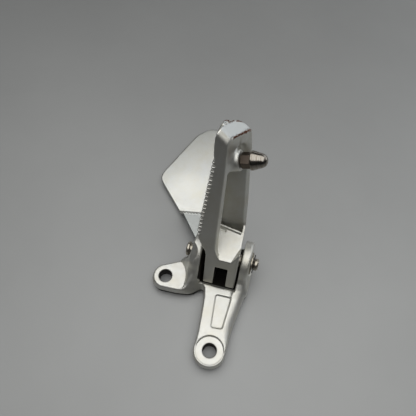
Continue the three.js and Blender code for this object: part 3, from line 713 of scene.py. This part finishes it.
# painted shade: the peg's front face is laid darker, standing in for the dark surroundings it faces
tone(nt, b, math_(nt, "MULTIPLY", mapr(nt, ln, NF + 0.12, NF + 0.5, 1.0, 0.0), 0.55), (0.48, 0.47, 0.435))
ends = lin(nt, (0.78 * 0.785, -0.10 * 0.785, 0.785), -0.785 * (101.35 - 0.78 * 9.8 - 0.10 * NF))
unders = lin(nt, (0.9, -0.9 * 8.4 / 23.8, 0), 0.9 * (4.4 + 8.4 / 23.8 * NF))
sweeps = lin(nt, (-0.819, 0.574, 0), -0.819 * 7.8 + 0.574 * 0.1)
rough_edge = noise(nt, 900.0, 4.0, 0.65, coords(nt))
patch = mapr(nt, noise(nt, 210.0, 3.0, 0.6, coords(nt)), 0.40, 0.50, 0.0, 1.0)
jag = math_(nt, "MULTIPLY", math_(nt, "SUBTRACT", rough_edge, 0.5), 1.6)
e1 = product(nt, mapr(nt, math_(nt, "ADD", math_(nt, "ABSOLUTE", ends, 0.0), jag), 0.45, 0.75, 1.0, 0.0), mapr(nt, math_(nt, "ADD", math_(nt, "ABSOLUTE", unders, 0.0), math_(nt, "MULTIPLY", jag, 0.8)), 0.35, 0.65, 1.0, 0.0), mapr(nt, ln, -11.6, -10.4, 0.0, 1.0))
e2 = product(nt, mapr(nt, math_(nt, "ADD", math_(nt, "ABSOLUTE", ends, 0.0), jag), 0.5, 0.8, 1.0, 0.0), mapr(nt, math_(nt, "ABSOLUTE", sweeps, 0.0), 0.9, 1.4, 1.0, 0.0), patch)
tone(nt, b, math_(nt, "MAXIMUM", e1, e2), CHIP, 0.65)
# the scuffed outer end face is laid a cooler grey, a painted tint of the bluish light from the right-back
tone(nt, b, math_(nt, "MULTIPLY", mapr(nt, math_(nt, "ABSOLUTE", ends, 0.0), 0.25, 0.5, 0.8, 0.0), math_(nt, "SUBTRACT", 1.0, math_(nt, "MAXIMUM", e1, e2))), (0.66, 0.675, 0.675), 0.5)

sheet, nt, b, _ = metal("sheet_aluminium", (0.71, 0.72, 0.70), 0.36, 3000.0, 0.25, 0.05, 0.2)
tv = lin(nt, (-math.sin(math.radians(9.5)), math.cos(math.radians(9.5)), 0), -(24.0 * math.sin(math.radians(9.5)) + 32.2 * math.cos(math.radians(9.5))), False)
# painted shade: the guard grows darker towards its far left, where the blade turns from the light
tone(nt, b, mapr(nt, lin(nt, (-0.93, 0.36, 0), 0.93 * -38.0 - 0.36 * 62.0, False), 4.0, 24.0, 0.0, 0.42), (0.40, 0.42, 0.405))
# painted shade: the tab before the joggle is laid darker
tone(nt, b, mapr(nt, tv, -3.2, -1.8, 1.0, 0.0), (0.36, 0.375, 0.365))
zinc, *_ = metal("zinc_steel", (0.50, 0.465, 0.40), 0.30, 3000.0, 0.2, 0.22, 0.3)
springm, *_ = metal("spring_steel", (0.060, 0.055, 0.048), 0.42, 2600.0, 0.2, 0.25, 0.2)
washer, *_ = metal("oiled_steel", (0.10, 0.095, 0.085), 0.45, 2600.0, 0.2, 0.25, 0.2)
polish, nt, b, _ = metal("polished_steel", (0.44, 0.42, 0.385), 0.20, 1500.0, 0.05, 0.14, 0.1)
fh = lin(nt, FEELER_DIR, -float(FEELER_DIR @ FEELER_AT))
rings = noise(nt, 1.0, 3.0, 0.6, None)
rn = rings.node
cmb = N(nt, "ShaderNodeCombineXYZ")
nt.links.new(math_(nt, "MULTIPLY", fh, 1.9), cmb.inputs[0])
nt.links.new(cmb.outputs[0], rn.inputs["Vector"])
tone(nt, b, mapr(nt, rings, 0.43, 0.56, 0.0, 0.75), (0.20, 0.165, 0.135), 0.26)
# the hex base is a dark bronze, partly its own tone and partly painted shade and dark reflection
tone(nt, b, mapr(nt, fh, 6.0, 6.35, 1.0, 0.0), (0.105, 0.085, 0.070), 0.36)

# ---------------------------------------------------------------- build
bracket = make_bracket(); assign(bracket, cast)
peg = make_peg(); assign(peg, pegm)
guard = make_guard(); assign(guard, sheet)
feeler = make_feeler(); assign(feeler, polish)
pin = make_pin(); assign(pin, zinc)
clip = make_clip(); assign(clip, springm)
wc = make_washer("clip_washer_turned", 4.3, 7.2, 19.62, 20.6); assign(wc, zinc)
wl = make_washer("left_thrust_washer", 4.3, 8.0, -10.2, -8.9); assign(wl, washer)
wr = make_washer("right_thrust_washer", 4.3, 8.0, 12.92, 13.44); assign(wr, washer)
spring = make_spring(); assign(spring, springm)
s1 = make_screw("guard_screw_front", SCREWS[0]); assign(s1, zinc)
s2 = make_screw("guard_screw_rear", SCREWS[1]); assign(s2, zinc)

for ob, body, node, slot in (
    (bracket, "bracket", "mounting_bracket", "cast_aluminium"),
    (peg, "peg", "foot_peg", "forged_peg"),
    (guard, "bracket", "heel_guard", "sheet_aluminium"),
    (feeler, "peg", "bank_feeler", "polished_steel"),
    (pin, "bracket", "pivot_pin", "zinc_steel"),
    (clip, "bracket", "pin_eclip", "spring_steel"),
    (wc, "bracket", "clip_washer", "zinc_steel"),
    (wl, "bracket", "thrust_washer_left", "zinc_steel"),
    (wr, "bracket", "thrust_washer_right", "zinc_steel"),
    (spring, "bracket", "return_spring", "spring_steel"),
    (s1, "bracket", "heel_guard_screw_front", "zinc_steel"),
    (s2, "bracket", "heel_guard_screw_rear", "zinc_steel"),
):
    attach(ob, body)
    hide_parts(node)

# ---------------------------------------------------------------- stage
fm, nt, b = new_mat("table_top")
v = coords(nt)
c = mixc(nt, mapr(nt, noise(nt, 6.0, 4.0, 0.6, v), 0.3, 0.7, 0, 1), (0.355, 0.36, 0.358), (0.385, 0.39, 0.388))
nt.links.new(c, b.inputs["Base Color"])
b.inputs["Roughness"].default_value = 0.56
b.inputs["Metallic"].default_value = 0.62
bump(nt, b, noise(nt, 900.0, 3.0, 0.6, v), 0.12, 0.0001)
bm = bmesh.new()
bmesh.ops.create_grid(bm, x_segments=8, y_segments=8, size=2.5)
me = bpy.data.meshes.new("table_top")
bm.to_mesh(me); bm.free()
floor = bpy.data.objects.new("table_top", me)
floor.location = (0, 0, -0.0001)
bpy.context.scene.collection.objects.link(floor)
assign(floor, fm)


def area(name, loc, target, size, size_y, power, colour=(1, 1, 1)):
    l = bpy.data.lights.new(name, "AREA")
    l.shape = "RECTANGLE"
    l.size, l.size_y = size, size_y
    l.energy = power
    l.color = colour
    o = bpy.data.objects.new(name, l)
    o.location = loc
    d = Vector(target) - Vector(loc)
    o.rotation_euler = d.to_track_quat("-Z", "Y").to_euler()
    bpy.context.scene.collection.objects.link(o)
    return o


area("overhead", (0.03, 0.05, 0.85), (0.03, 0.05, 0), 1.6, 1.2, 9.0, (1.0, 0.998, 0.985))
area("window", (0.95, 0.95, 0.40), (0, 0, 0.05), 1.3, 0.8, 3.4, (0.93, 0.97, 1.0))

area("back", (-0.10, 1.55, 0.30), (0, 0, 0.03), 1.3, 0.3, 0.95, (1.0, 1.0, 1.0))

world = bpy.data.worlds.new("studio")
bpy.context.scene.world = world
world.use_nodes = True
wn = world.node_tree
wn.nodes.clear()
wo = wn.nodes.new("ShaderNodeOutputWorld")
bg = wn.nodes.new("ShaderNodeBackground")
bg.inputs["Color"].default_value = (0.9, 0.95, 1.0, 1)
bg.inputs["Strength"].default_value = 0.02
wn.links.new(bg.outputs[0], wo.inputs[0])

# ---------------------------------------------------------------- camera
cam = bpy.data.cameras.new("camera")
cam.sensor_width = 36.0
cam.lens = 446.0 / 416.0 * 36.0
cam.clip_start = 0.005
co = bpy.data.objects.new("camera", cam)
bpy.context.scene.collection.objects.link(co)
AZ, EL = math.radians(15.0), math.radians(60.0)
# camera place in the pin frame (mm)
cw = np.array([-9.2, -120.2, 289.0])
cpos = np.array([cw[0] * math.cos(AZ) - cw[1] * math.sin(AZ), cw[0] * math.sin(AZ) + cw[1] * math.cos(AZ), cw[2]])
co.location = Vector((cpos + OFF) / 1000.0)
fwd = Vector((-math.sin(AZ) * math.cos(EL), math.cos(AZ) * math.cos(EL), -math.sin(EL)))
co.rotation_euler = fwd.to_track_quat("-Z", "Y").to_euler()
bpy.context.scene.camera = co
try:
    bpy.context.scene.view_settings.view_transform = "Standard"
except Exception:
    pass
